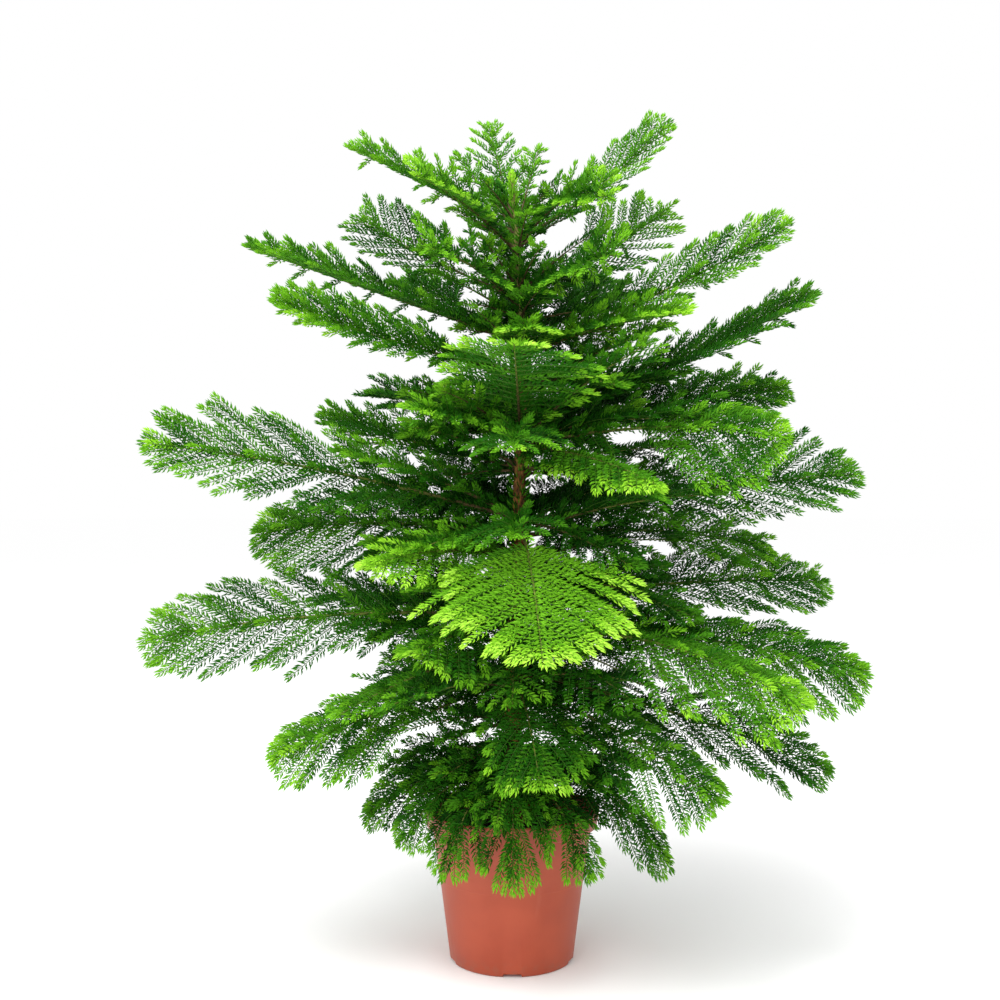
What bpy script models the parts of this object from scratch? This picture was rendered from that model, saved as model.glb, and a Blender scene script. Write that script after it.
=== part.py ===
"""A young Norfolk Island pine in its nursery pot, in metres, +Z up.

The origin is the middle of the pot's flat underside. Headings turn from +X (0) through +Y (90),
so 180 is the left of the plant and 270 its front. Every frond lies along one heading: a bough
leaves the trunk, or the needles start at the trunk itself, and the blade ends in one point.
"""
import math
from collections import namedtuple

import bmesh
import bpy
from mathutils import Matrix, Vector

GAP = 0.0003
UP = Vector((0, 0, 1))

POT_HEIGHT = 0.185
POT_FOOT_RADIUS = 0.0765
POT_NECK_RADIUS = 0.0985
POT_RIM_RADIUS = 0.1090
POT_BAND_HEIGHT = 0.022
POT_BAND_FLARE = 0.0035
POT_BAND_LIP = 0.002
POT_CORNER = 0.003
POT_WALL = 0.0025
POT_FLOOR = 0.003
POT_FLOOR_FILLET = 0.002
POT_STEP_HEIGHT = 0.100
POT_STEP_DEPTH = 0.0008
POT_SIDES = 40
POT_BAND_FOOT = POT_HEIGHT - POT_BAND_HEIGHT
NOTCH_COUNT = 5
NOTCH_WIDTH = 0.026
NOTCH_HEIGHT = 0.0042
NOTCH_DEPTH = 0.011
NOTCH_TOP_SHARE = 0.8

SOIL_TOP = 0.166
SOIL_EDGE_DROP = 0.004
SOIL_FLAT_RADIUS = 0.030

TRUNK_TIP = 0.972
TRUNK_FOOT_RADIUS = 0.0110
TRUNK_TIP_RADIUS = 0.0016
TRUNK_TAPER = 0.62
FLARE = 0.0060
FLARE_HEIGHT = 0.014
TRUNK_BEND = 0.0115
TRUNK_BEND_SKEW = 1.7
TRUNK_LEAN = 0.004
TRUNK_SIDES = 12
TRUNK_RINGS = 20
TRUNK_RING_CROWDING = 1.4

LEADER_FOOT = 0.922
LEADER_TIP = 0.986
LEADER_RADIUS = 0.026
LEADER_SWELLS = (0.25, 0.55, 0.8, 1.0, 0.95, 0.8, 0.5)
LEADER_SIDES = 8
LEADER_BORE_RINGS = 6

BOUGH_SIDES = 6
BOUGH_RINGS = 4
BOUGH_THICKNESS = 0.0085
BOUGH_SHRINK = 0.65

BLADE_RINGS = 13
BLADE_RING_CROWDING = 1.15
BLADE_FOOT_WIDTH = 0.008
BLADE_THICKNESS = 0.010
BLADE_FOOT_THICKNESS = 0.007
BLADE_SWELL = 1.0
BLADE_ROUND = 0.42
BLADE_WAVES = (5, 11)
BLADE_WAVE_DEPTHS = (0.10, 0.06)
BLADE_WAVE_SHIFT = 1.7
BLADE_SIDE_SHIFT = 2.3

# One row for each frond. height: where it leaves the trunk. heading: degrees. reach: from the
# trunk's axis to the tip. rise: how much higher the tip is than the foot. arch: how far the middle
# stands above the straight line between them. width: of the blade where it is widest. roll: turn
# of the blade, with the edge on its right lifted as seen from the trunk. cup: how far the two
# edges stand above the rib, for each metre of half width. bare: length of limb before the needles.
Frond = namedtuple("Frond", "name height heading reach rise arch width roll cup bare")

FRONDS = (
    Frond("a_left", 0.896, 182, 0.208, 0.106, 0.004, 0.095, 22, 0.2, 0),
    Frond("a_front_left", 0.872, 234, 0.150, 0.066, 0.010, 0.080, 15, 0.2, 0),
    Frond("a_back", 0.900, 104, 0.145, 0.172, 0.000, 0.130, 5, 0.2, 0),
    Frond("a_right", 0.888, 17, 0.207, 0.175, -0.014, 0.105, -35, 0.2, 0),
    Frond("a_front_right", 0.874, 314, 0.155, 0.060, 0.010, 0.080, -15, 0.2, 0),

    Frond("b_back_left", 0.816, 153, 0.245, 0.125, -0.005, 0.150, 36, 0.2, 0),
    Frond("b_front_left", 0.803, 232, 0.172, 0.050, 0.012, 0.090, 15, 0.2, 0),
    Frond("b_back_right", 0.818, 36, 0.250, 0.140, -0.005, 0.150, -36, 0.2, 0),
    Frond("b_front_right", 0.805, 310, 0.172, 0.040, 0.014, 0.090, -15, 0.2, 0),
    Frond("b_back", 0.838, 94, 0.210, 0.150, 0.006, 0.150, 0, 0.2, 0),

    Frond("c_left", 0.762, 176, 0.345, 0.122, 0.000, 0.110, 15, 0.2, 0.045),
    Frond("c_front_left", 0.722, 200, 0.308, 0.074, -0.006, 0.120, 35, 0.2, 0),
    Frond("c_right", 0.752, 5, 0.342, 0.162, -0.010, 0.110, -45, 0.2, 0.045),
    Frond("c_front_right", 0.742, 325, 0.230, 0.036, 0.010, 0.120, -15, 0.2, 0),
    Frond("c_front", 0.733, 263, 0.165, 0.012, 0.016, 0.110, 0, 0.0, 0),
    Frond("c_back", 0.766, 94, 0.285, 0.118, 0.000, 0.330, 0, 0.1, 0),

    Frond("d_front", 0.646, 269, 0.200, 0.090, 0.004, 0.195, 0, 0.1, 0),
    Frond("d_left", 0.606, 166, 0.262, 0.070, -0.004, 0.125, 12, 0.1, 0),
    Frond("d_front_left", 0.628, 224, 0.172, 0.040, 0.012, 0.110, 15, 0.1, 0),
    Frond("d_right_top", 0.660, 9, 0.385, 0.172, -0.012, 0.100, -15, 0.2, 0),
    Frond("d_right_back", 0.638, 22, 0.390, 0.078, 0.010, 0.130, -30, 0.1, 0),
    Frond("d_right_front", 0.630, 337, 0.320, 0.006, 0.018, 0.135, -45, 0.0, 0),
    Frond("d_front_right", 0.603, 302, 0.240, -0.034, 0.012, 0.110, -20, -0.1, 0),
    Frond("d_back", 0.646, 97, 0.330, 0.062, 0.010, 0.390, 0, 0.1, 0),

    Frond("e_left", 0.540, 190, 0.452, 0.092, 0.012, 0.150, 50, 0.1, 0.060),
    Frond("e_left_low", 0.522, 174, 0.335, 0.003, 0.012, 0.160, 38, 0.0, 0),
    Frond("e_front_left", 0.492, 224, 0.235, 0.000, 0.013, 0.110, 12, -0.1, 0),
    Frond("e_front", 0.532, 274, 0.300, -0.134, 0.030, 0.240, 0, -0.1, 0.040),
    Frond("e_right", 0.536, 4, 0.432, 0.062, 0.008, 0.155, -40, 0.1, 0.060),
    Frond("e_right_back", 0.520, 26, 0.385, -0.020, 0.015, 0.150, -30, 0.0, 0),
    Frond("e_back", 0.545, 100, 0.370, 0.020, 0.015, 0.410, 0, 0.0, 0),

    Frond("f_left", 0.420, 186, 0.453, -0.024, 0.016, 0.150, 50, 0.0, 0.060),
    Frond("f_front_left", 0.406, 236, 0.200, -0.014, 0.012, 0.110, 15, -0.1, 0),
    Frond("f_right_back", 0.436, 21, 0.455, 0.017, 0.012, 0.150, -33, 0.0, 0),
    Frond("f_right", 0.404, 349, 0.422, -0.046, 0.018, 0.145, -44, -0.1, 0),
    Frond("f_right_front", 0.394, 325, 0.378, -0.052, 0.033, 0.175, -30, -0.1, 0.060),
    Frond("f_back", 0.422, 102, 0.380, -0.008, 0.015, 0.430, 0, 0.0, 0),

    Frond("g_left", 0.345, 201, 0.302, -0.080, 0.012, 0.140, 30, -0.1, 0),
    Frond("g_front", 0.338, 277, 0.216, -0.082, 0.025, 0.105, 0, -0.2, 0),
    Frond("g_right", 0.360, 352, 0.382, -0.110, 0.026, 0.100, -10, -0.1, 0.050),
    Frond("g_right_front", 0.320, 321, 0.290, -0.090, 0.024, 0.130, -22, -0.1, 0),
    Frond("g_back", 0.347, 88, 0.340, -0.065, 0.020, 0.420, 0, -0.1, 0),

    Frond("h_left", 0.216, 184, 0.182, -0.040, 0.030, 0.105, 35, -0.1, 0),
    Frond("h_front_left", 0.202, 240, 0.158, -0.064, 0.048, 0.068, 10, -0.2, 0),
    Frond("h_front", 0.222, 270, 0.158, -0.096, 0.062, 0.080, 0, -0.2, 0),
    Frond("h_front_right", 0.196, 301, 0.168, -0.058, 0.048, 0.066, -6, -0.2, 0),
    Frond("h_right", 0.224, 343, 0.198, -0.102, 0.054, 0.086, -25, -0.2, 0),
    Frond("h_back", 0.214, 95, 0.210, -0.050, 0.040, 0.280, 0, -0.1, 0),
)


def clear_scene():
    for obj in list(bpy.data.objects):
        bpy.data.objects.remove(obj, do_unlink=True)


def make_material(name, colour, roughness):
    material = bpy.data.materials.new(name)
    material.use_nodes = True
    shader = material.node_tree.nodes["Principled BSDF"]
    shader.inputs["Base Color"].default_value = (*colour, 1)
    shader.inputs["Roughness"].default_value = roughness
    shader.inputs["Metallic"].default_value = 0
    return material


def add_object(name, bm, material, smooth_angle=None):
    bmesh.ops.recalc_face_normals(bm, faces=bm.faces)
    if bm.calc_volume(signed=True) < 0:
        bmesh.ops.reverse_faces(bm, faces=bm.faces)
    mesh = bpy.data.meshes.new(name)
    bm.to_mesh(mesh)
    bm.free()
    if smooth_angle is not None:
        mesh.shade_smooth()
        mesh.set_sharp_from_angle(angle=math.radians(smooth_angle))
    obj = bpy.data.objects.new(name, mesh)
    obj.data.materials.append(material)
    bpy.context.scene.collection.objects.link(obj)
    return obj


def turned(name, profile, material, sides, smooth_angle=30):
    """A profile of (radius, height) points, turned round the Z axis."""
    bm = bmesh.new()
    verts = [bm.verts.new((radius, 0, height)) for radius, height in profile]
    edges = [bm.edges.new(pair) for pair in zip(verts, verts[1:])]
    bmesh.ops.spin(
        bm, geom=verts + edges, axis=(0, 0, 1), cent=(0, 0, 0),
        angle=math.tau, steps=sides, use_merge=True,
    )
    bmesh.ops.remove_doubles(bm, verts=bm.verts, dist=1e-6)
    return add_object(name, bm, material, smooth_angle)


def lofted(rings, tip=None):
    """A closed skin over rings of points, capped at both ends or drawn out to a point at tip."""
    bm = bmesh.new()
    loops = [[bm.verts.new(place) for place in ring] for ring in rings]
    for loop, following in zip(loops, loops[1:]):
        for side in range(len(loop)):
            nearby = side - 1
            bm.faces.new((loop[nearby], loop[side], following[side], following[nearby]))
    bm.faces.new(loops[0])
    end = bm.faces.new(loops[-1])
    if tip is not None:
        made = bmesh.ops.poke(bm, faces=[end])
        made["verts"][0].co = tip
    return bm


def along_trunk(height):
    """0 at the soil and 1 at the trunk's tip."""
    return (height - SOIL_TOP) / (TRUNK_TIP - SOIL_TOP)


def trunk_axis(height):
    share = min(max(along_trunk(height), 0), 1)
    bend = TRUNK_BEND * math.sin(math.pi * share**TRUNK_BEND_SKEW)
    return Vector((bend, TRUNK_LEAN * share, height))


def trunk_radius(height):
    share = min(max(along_trunk(height), 0), 1)
    taper = TRUNK_TIP_RADIUS + (TRUNK_FOOT_RADIUS - TRUNK_TIP_RADIUS) * (1 - share) ** TRUNK_TAPER
    return taper + FLARE * math.exp((SOIL_TOP - height) / FLARE_HEIGHT)


def outward(heading):
    angle = math.radians(heading)
    return Vector((math.cos(angle), math.sin(angle), 0))


def clear_of_trunk(frond, half_depth):
    """The distance from the trunk's axis at which an upright end face just clears the bark."""
    ahead = outward(frond.heading)
    middle = trunk_axis(frond.height)
    reach = 0
    for step in (-1, 0, 1):
        height = frond.height + step * half_depth
        offset = (trunk_axis(height) - middle).dot(ahead)
        reach = max(reach, offset + trunk_radius(height))
    return reach + GAP


def spine(frond, distance):
    """A point of the frond's rib, at a distance from the trunk's axis along its heading."""
    share = distance / frond.reach
    lift = frond.rise * share + frond.arch * 4 * share * (1 - share)
    return trunk_axis(frond.height) + outward(frond.heading) * distance + UP * lift


def across(frond):
    """The blade's own sideways and upward directions, both square to its heading."""
    ahead = outward(frond.heading)
    turn = Matrix.Rotation(-math.radians(frond.roll), 3, ahead)
    return turn @ ahead.cross(UP), turn @ UP


def blade_outline(share):
    """The share of its full width that a blade has there: 0 at its foot and tip, 1 at its widest."""
    widest = BLADE_SWELL / (BLADE_SWELL + BLADE_ROUND)
    full = widest**BLADE_SWELL * (1 - widest) ** BLADE_ROUND
    return share**BLADE_SWELL * (1 - share) ** BLADE_ROUND / full


def uneven(share, order, side):
    """A gentle wave of the blade's edge, of its own on each side of each frond."""
    wave = 1
    for count, depth in zip(BLADE_WAVES, BLADE_WAVE_DEPTHS):
        shift = BLADE_WAVE_SHIFT * order + BLADE_SIDE_SHIFT * side
        wave += depth * math.sin(count * share * math.pi + shift)
    return wave


def blade_start(frond):
    foot = clear_of_trunk(frond, BLADE_FOOT_THICKNESS / 2)
    return foot + frond.bare + GAP if frond.bare else foot


def blade_ring(frond, order, start, share):
    """Four points of a flat lozenge: one edge, over the rib, the other edge, under the rib."""
    middle = spine(frond, start + (frond.reach - start) * share)
    sideways, upward = across(frond)
    swell = (BLADE_THICKNESS - BLADE_FOOT_THICKNESS) * math.sin(math.pi * share)
    thickness = BLADE_FOOT_THICKNESS + swell
    ring = []
    for side in (-1, 1):
        half = BLADE_FOOT_WIDTH / 2
        half += (frond.width / 2 - half) * blade_outline(share) * uneven(share, order, side)
        edge = middle + sideways * side * half + upward * frond.cup * half
        ring += [edge, middle + upward * side * -thickness / 2]
    return ring


def round_ring(middle, radius, sides, sideways=Vector((1, 0, 0)), upward=Vector((0, 1, 0))):
    ring = []
    for side in range(sides):
        angle = math.tau * side / sides
        ring.append(middle + radius * (sideways * math.cos(angle) + upward * math.sin(angle)))
    return ring


def make_blade(frond, order, material):
    start = blade_start(frond)
    steps = [step / BLADE_RINGS for step in range(BLADE_RINGS)]
    shares = [1 - (1 - step) ** BLADE_RING_CROWDING for step in steps]
    rings = [blade_ring(frond, order, start, share) for share in shares]
    bm = lofted(rings, tip=spine(frond, frond.reach))
    return add_object(f"needles_{frond.name}", bm, material, smooth_angle=50)


def make_bough(frond, material):
    start = clear_of_trunk(frond, BOUGH_THICKNESS / 2)
    end = blade_start(frond) - GAP
    sideways, upward = across(frond)
    rings = []
    for step in range(BOUGH_RINGS):
        share = step / (BOUGH_RINGS - 1)
        middle = spine(frond, start + (end - start) * share)
        radius = BOUGH_THICKNESS / 2 * (1 + (BOUGH_SHRINK - 1) * share)
        rings.append(round_ring(middle, radius, BOUGH_SIDES, sideways, upward))
    return add_object(f"bough_{frond.name}", lofted(rings), material, smooth_angle=70)


def make_trunk(material):
    foot = SOIL_TOP + GAP
    rings = []
    for step in range(TRUNK_RINGS + 1):
        height = foot + (TRUNK_TIP - foot) * (step / TRUNK_RINGS) ** TRUNK_RING_CROWDING
        rings.append(round_ring(trunk_axis(height), trunk_radius(height), TRUNK_SIDES))
    return add_object("trunk", lofted(rings), material, smooth_angle=60)


def make_leader(material):
    """The sleeve of short needles round the leader, bored for the trunk's tip."""
    bore_top = TRUNK_TIP + GAP
    clearance = 1 / math.cos(math.pi / LEADER_SIDES)
    rings = []
    for step in range(LEADER_BORE_RINGS):
        height = bore_top - (bore_top - LEADER_FOOT) * (step / (LEADER_BORE_RINGS - 1)) ** 2
        radius = (trunk_radius(height) + 2 * GAP) * clearance
        rings.append(round_ring(trunk_axis(height), radius, LEADER_SIDES))
    for step, swell in enumerate(LEADER_SWELLS):
        height = LEADER_FOOT + (LEADER_TIP - LEADER_FOOT) * step / len(LEADER_SWELLS)
        rings.append(round_ring(trunk_axis(height), LEADER_RADIUS * swell, LEADER_SIDES))
    bm = lofted(rings, tip=trunk_axis(LEADER_TIP))
    return add_object("needles_leader", bm, material, smooth_angle=50)


def pot_radius(height):
    """The outside of the pot's body, from its foot to the underside of the rim band."""
    share = height / POT_BAND_FOOT
    step = POT_STEP_DEPTH if height > POT_STEP_HEIGHT else 0
    return POT_FOOT_RADIUS + (POT_NECK_RADIUS - POT_FOOT_RADIUS - POT_STEP_DEPTH) * share + step


def make_pot(material):
    """A turned shell with a flared rim band and a flat floor, notched round its foot to drain."""
    step_top = POT_STEP_HEIGHT + POT_STEP_DEPTH
    profile = [
        (0, 0),
        (POT_FOOT_RADIUS - POT_CORNER, 0),
        (POT_FOOT_RADIUS, POT_CORNER),
        (pot_radius(POT_STEP_HEIGHT), POT_STEP_HEIGHT),
        (pot_radius(step_top), step_top),
        (POT_NECK_RADIUS, POT_BAND_FOOT),
        (POT_RIM_RADIUS - POT_BAND_FLARE, POT_BAND_FOOT + POT_BAND_LIP),
        (POT_RIM_RADIUS, POT_HEIGHT - POT_BAND_LIP),
        (POT_RIM_RADIUS - POT_BAND_LIP / 2, POT_HEIGHT),
        (POT_RIM_RADIUS - POT_WALL, POT_HEIGHT),
        (POT_NECK_RADIUS - POT_WALL, POT_BAND_FOOT - POT_WALL),
        (POT_FOOT_RADIUS - POT_WALL, POT_FLOOR + POT_FLOOR_FILLET),
        (0, POT_FLOOR),
    ]
    pot = turned("pot", profile, material, POT_SIDES)
    for number in range(NOTCH_COUNT):
        bm = bmesh.new()
        bmesh.ops.create_cube(bm, size=1)
        bmesh.ops.scale(bm, verts=bm.verts, vec=(2 * NOTCH_DEPTH, NOTCH_WIDTH, 2 * NOTCH_HEIGHT))
        top = [vert for vert in bm.verts if vert.co.z > 0]
        bmesh.ops.scale(bm, verts=top, vec=(1, NOTCH_TOP_SHARE, 1))
        heading = 270 + 360 * number / NOTCH_COUNT
        cutter = add_object(f"notch_cutter_{number}", bm, material)
        cutter.location = outward(heading) * POT_FOOT_RADIUS
        cutter.rotation_euler.z = math.radians(heading)
        cutter.hide_render = True
        cutter.display_type = "WIRE"
        cut = pot.modifiers.new(f"notch_{number}", "BOOLEAN")
        cut.object = cutter
        cut.operation = "DIFFERENCE"
        cut.solver = "EXACT"
    return pot


def make_soil(material):
    """Potting soil, just clear of the pot's floor and wall, with a flat seat for the trunk."""
    gap = 2 * GAP
    foot_radius = POT_FOOT_RADIUS - POT_WALL - gap
    edge_radius = POT_NECK_RADIUS - POT_WALL - gap
    side_foot = POT_FLOOR + POT_FLOOR_FILLET
    side_top = POT_BAND_FOOT - POT_WALL
    edge_height = SOIL_TOP - SOIL_EDGE_DROP
    profile = [
        (0, POT_FLOOR + gap),
        (foot_radius - POT_FLOOR_FILLET, side_foot),
        (foot_radius, side_foot + POT_FLOOR_FILLET),
        (edge_radius - gap, side_top),
        (edge_radius - gap, edge_height),
        ((edge_radius + SOIL_FLAT_RADIUS) / 2, SOIL_TOP - SOIL_EDGE_DROP / 3),
        (SOIL_FLAT_RADIUS, SOIL_TOP),
        (0, SOIL_TOP),
    ]
    return turned("soil", profile, material, POT_SIDES, smooth_angle=40)


def main():
    clear_scene()
    plastic = make_material("pot_plastic", (0.503, 0.102, 0.051), 0.5)
    potting_soil = make_material("soil", (0.030, 0.020, 0.014), 0.95)
    bark = make_material("bark", (0.210, 0.110, 0.050), 0.85)
    limb_bark = make_material("limb_bark", (0.160, 0.140, 0.040), 0.75)
    needle_green = make_material("needles", (0.060, 0.220, 0.030), 0.6)
    shoot_green = make_material("new_shoots", (0.200, 0.480, 0.060), 0.6)
    make_pot(plastic)
    make_soil(potting_soil)
    make_trunk(bark)
    make_leader(shoot_green)
    for order, frond in enumerate(FRONDS):
        if frond.bare:
            make_bough(frond, limb_bark)
        make_blade(frond, order, needle_green)


main()
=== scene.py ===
"""A young Norfolk Island pine in its nursery pot, as it looks: metres, +Z up, front towards -Y."""
import math
from collections import namedtuple

import bmesh
import bpy
import numpy as np
from mathutils import Matrix, Vector, noise


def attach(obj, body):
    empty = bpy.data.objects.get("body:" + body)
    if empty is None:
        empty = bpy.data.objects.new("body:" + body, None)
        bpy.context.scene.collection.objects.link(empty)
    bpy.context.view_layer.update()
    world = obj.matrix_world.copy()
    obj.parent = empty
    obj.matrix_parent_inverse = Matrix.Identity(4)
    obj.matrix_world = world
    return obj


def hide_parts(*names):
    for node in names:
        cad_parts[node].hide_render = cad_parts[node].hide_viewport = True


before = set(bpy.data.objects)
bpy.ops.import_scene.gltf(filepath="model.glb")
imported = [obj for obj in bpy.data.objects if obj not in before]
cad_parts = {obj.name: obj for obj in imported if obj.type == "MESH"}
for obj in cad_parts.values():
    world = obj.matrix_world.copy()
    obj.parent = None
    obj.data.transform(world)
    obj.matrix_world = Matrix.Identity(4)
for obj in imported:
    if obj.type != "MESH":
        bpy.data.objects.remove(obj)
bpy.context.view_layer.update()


# The pot is blown from terracotta-coloured plastic in one piece, with a thin wall, a flared band
# round the rim, a faint step where pots stack, and notches round the foot that let it drain.
class Reading:
    """One number or colour that varies over a surface. Sums on it add their Math nodes."""

    def __init__(self, finish, socket):
        self.finish = finish
        self.socket = socket

    def sum_of(self, operation, first, second):
        return self.finish.node("ShaderNodeMath", {"operation": operation}, {0: first, 1: second})

    def __add__(self, other):
        return self.sum_of("ADD", self, other)

    def __sub__(self, other):
        return self.sum_of("SUBTRACT", self, other)

    def __rsub__(self, other):
        return self.sum_of("SUBTRACT", other, self)

    def __mul__(self, other):
        return self.sum_of("MULTIPLY", self, other)


class Finish:
    """A material of one Principled shader, and the nodes that vary its colour, gloss and relief."""

    def __init__(self, name, colour, roughness, **constants):
        self.material = bpy.data.materials.new(name)
        self.material.use_nodes = True
        self.tree = self.material.node_tree
        self.shader = self.tree.nodes["Principled BSDF"]
        self.shader.inputs["Base Color"].default_value = (*colour, 1)
        self.shader.inputs["Roughness"].default_value = roughness
        for socket, value in constants.items():
            self.shader.inputs[socket.replace("_", " ")].default_value = value

    def node(self, kind, settings=None, inputs=None, output=0):
        made = self.tree.nodes.new(kind)
        for name, value in (settings or {}).items():
            if name == "stops":
                self.set_stops(made.color_ramp, value)
            else:
                setattr(made, name, value)
        for name, value in (inputs or {}).items():
            if isinstance(value, Reading):
                self.tree.links.new(value.socket, made.inputs[name])
            else:
                made.inputs[name].default_value = value
        return Reading(self, made.outputs[output])

    def set_stops(self, ramp, stops):
        while len(ramp.elements) < len(stops):
            ramp.elements.new(0.5)
        for element, (place, value) in zip(ramp.elements, stops):
            element.position = place
            element.color = (value, value, value, 1)

    def place(self, stretch=(1, 1, 1)):
        """The point on the piece, in metres, with each axis stretched."""
        point = self.node("ShaderNodeTexCoord", output="Object")
        return self.node("ShaderNodeMapping", {}, {"Vector": point, "Scale": stretch})

    def height(self):
        point = self.node("ShaderNodeTexCoord", output="Object")
        return self.node("ShaderNodeSeparateXYZ", {}, {0: point}, output="Z")

    def mottle(self, scale, detail=3, stretch=(1, 1, 1), stops=((0.3, 0), (0.7, 1))):
        """Cloudy patches from 0 to 1, about 1 / scale metres across."""
        cloud = self.node(
            "ShaderNodeTexNoise", {}, {"Vector": self.place(stretch), "Scale": scale, "Detail": detail}
        )
        return self.node("ShaderNodeValToRGB", {"stops": stops}, {"Fac": cloud})

    def between(self, share, first, second):
        """A colour on the way from first to second. Either may be a reading."""
        first, second = (c if isinstance(c, Reading) else (*c, 1) for c in (first, second))
        return self.node(
            "ShaderNodeMix", {"data_type": "RGBA"}, {0: share, 6: first, 7: second}, output=2
        )

    def set(self, socket, reading):
        self.tree.links.new(reading.socket, self.shader.inputs[socket])

    def relief(self, height, depth, strength=1.0):
        bump = self.node(
            "ShaderNodeBump", {}, {"Height": height, "Distance": depth, "Strength": strength}
        )
        self.set("Normal", bump)


def shown(name, bm, finish, slot, *nodes, smooth):
    """Puts a piece in the scene: facing out, rounded between edges sharper than smooth degrees."""
    bmesh.ops.remove_doubles(bm, verts=bm.verts, dist=1e-6)
    bmesh.ops.recalc_face_normals(bm, faces=bm.faces)
    mesh = bpy.data.meshes.new(name)
    bm.to_mesh(mesh)
    bm.free()
    mesh.shade_smooth()
    mesh.set_sharp_from_angle(angle=math.radians(smooth))
    settled(name, mesh, [finish], slot, *nodes)


def settled(name, mesh, finishes, slot, *nodes):
    """Puts a made mesh in the scene as one piece that stands for those CAD nodes."""
    for finish in finishes:
        mesh.materials.append(finish.material)
    piece = bpy.data.objects.new(name, mesh)
    bpy.context.scene.collection.objects.link(piece)
    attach(piece, "root")
    if nodes:
        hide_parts(*nodes)


def turned(profile, steps):
    """A profile of (radius, height) points spun round the pot's middle."""
    bm = bmesh.new()
    points = [bm.verts.new((radius, 0, height)) for radius, height in profile]
    edges = [bm.edges.new(pair) for pair in zip(points, points[1:])]
    bmesh.ops.spin(
        bm, geom=points + edges, axis=(0, 0, 1), cent=(0, 0, 0), angle=math.tau,
        steps=steps, use_merge=True,
    )
    bmesh.ops.remove_doubles(bm, verts=bm.verts, dist=1e-6)
    return bm


pot_height = 0.185
pot_foot = 0.0765
pot_neck = 0.0985
pot_rim = 0.109
pot_wall = 0.0025
band_foot = 0.163
step_height = 0.100
pot_outside = (
    (0, 0.0006), (0.060, 0.0006), (0.066, 0), (pot_foot - 0.0026, 0), (pot_foot - 0.0008, 0.0008),
    (pot_foot, 0.0030), (0.0889, step_height - 0.0006), (0.0896, step_height + 0.0006),
    (0.0901, step_height + 0.0016), (pot_neck - 0.0007, band_foot - 0.0035), (pot_neck, band_foot),
    (pot_rim - 0.0062, band_foot + 0.0001), (pot_rim - 0.0040, band_foot + 0.0010),
    (pot_rim - 0.0034, band_foot + 0.0028), (pot_rim - 0.0008, pot_height - 0.0042),
    (pot_rim, pot_height - 0.0028), (pot_rim - 0.0002, pot_height - 0.0009),
    (pot_rim - 0.0011, pot_height), (pot_rim - 0.0019, pot_height - 0.0004),
)
pot_inside = (
    (pot_rim - pot_wall, pot_height - 0.0020), (pot_neck - pot_wall + 0.0012, band_foot + 0.0010),
    (pot_neck - pot_wall, band_foot - pot_wall), (pot_foot - pot_wall, 0.005), (0, 0.003),
)
notch_count = 5
notch_width = 0.026
notch_height = 0.0042
notch_depth = 0.011

bm = turned(pot_outside + pot_inside, 120)
pot_mesh = bpy.data.meshes.new("pot_uncut")
bmesh.ops.recalc_face_normals(bm, faces=bm.faces)
bm.to_mesh(pot_mesh)
bm.free()
pot_blank = bpy.data.objects.new("pot_blank", pot_mesh)

bm = bmesh.new()
for number in range(notch_count):
    made = bmesh.ops.create_cube(bm, size=1)["verts"]
    bmesh.ops.scale(bm, verts=made, vec=(2 * notch_depth, notch_width, 2 * notch_height))
    bmesh.ops.scale(bm, verts=[v for v in made if v.co.z > 0], vec=(1, 0.8, 1))
    bmesh.ops.translate(bm, verts=made, vec=(pot_foot, 0, 0))
    turn = Matrix.Rotation(math.radians(270 + 360 * number / notch_count), 3, "Z")
    bmesh.ops.rotate(bm, verts=made, cent=(0, 0, 0), matrix=turn)
notch_mesh = bpy.data.meshes.new("notches")
bm.to_mesh(notch_mesh)
bm.free()
notches = bpy.data.objects.new("notches", notch_mesh)
for helper in (pot_blank, notches):
    bpy.context.scene.collection.objects.link(helper)
cut = pot_blank.modifiers.new("notches", "BOOLEAN")
cut.object = notches
cut.operation = "DIFFERENCE"
cut.solver = "EXACT"
cut_mesh = bpy.data.meshes.new_from_object(
    pot_blank.evaluated_get(bpy.context.evaluated_depsgraph_get())
)
for helper in (pot_blank, notches):
    bpy.data.objects.remove(helper)
bm = bmesh.new()
bm.from_mesh(cut_mesh)

terracotta = (0.365, 0.057, 0.021)
plastic = Finish("pot_plastic", terracotta, 0.46, Specular_IOR_Level=0.42)
cloud = plastic.mottle(22, stops=((0.35, 0), (0.65, 1)))
tint = plastic.between(cloud, (0.345, 0.052, 0.019), (0.390, 0.064, 0.025))
scuffs = plastic.mottle(60, 6, (1, 1, 0.12), ((0.60, 0), (0.72, 1)))
tint = plastic.between(scuffs * 0.16, tint, (0.480, 0.160, 0.100))
low = plastic.node(
    "ShaderNodeMapRange", {}, {"Value": plastic.height(), "From Min": 0.0, "From Max": 0.020,
                               "To Min": 1.0, "To Max": 0.0}
)
dust = plastic.mottle(140, 5, stops=((0.45, 0), (0.62, 1)))
tint = plastic.between(low * dust * 0.35, tint, (0.220, 0.110, 0.070))
plastic.set("Base Color", tint)
plastic.set("Roughness", cloud * 0.08 + scuffs * 0.10 + 0.40)
plastic.relief(plastic.mottle(900, 2) * 0.4 + plastic.mottle(35, 2, (1, 1, 0.2)), 0.00012, 0.5)
shown("pot_shell", bm, plastic, "pot_plastic", "pot", smooth=28)


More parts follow.
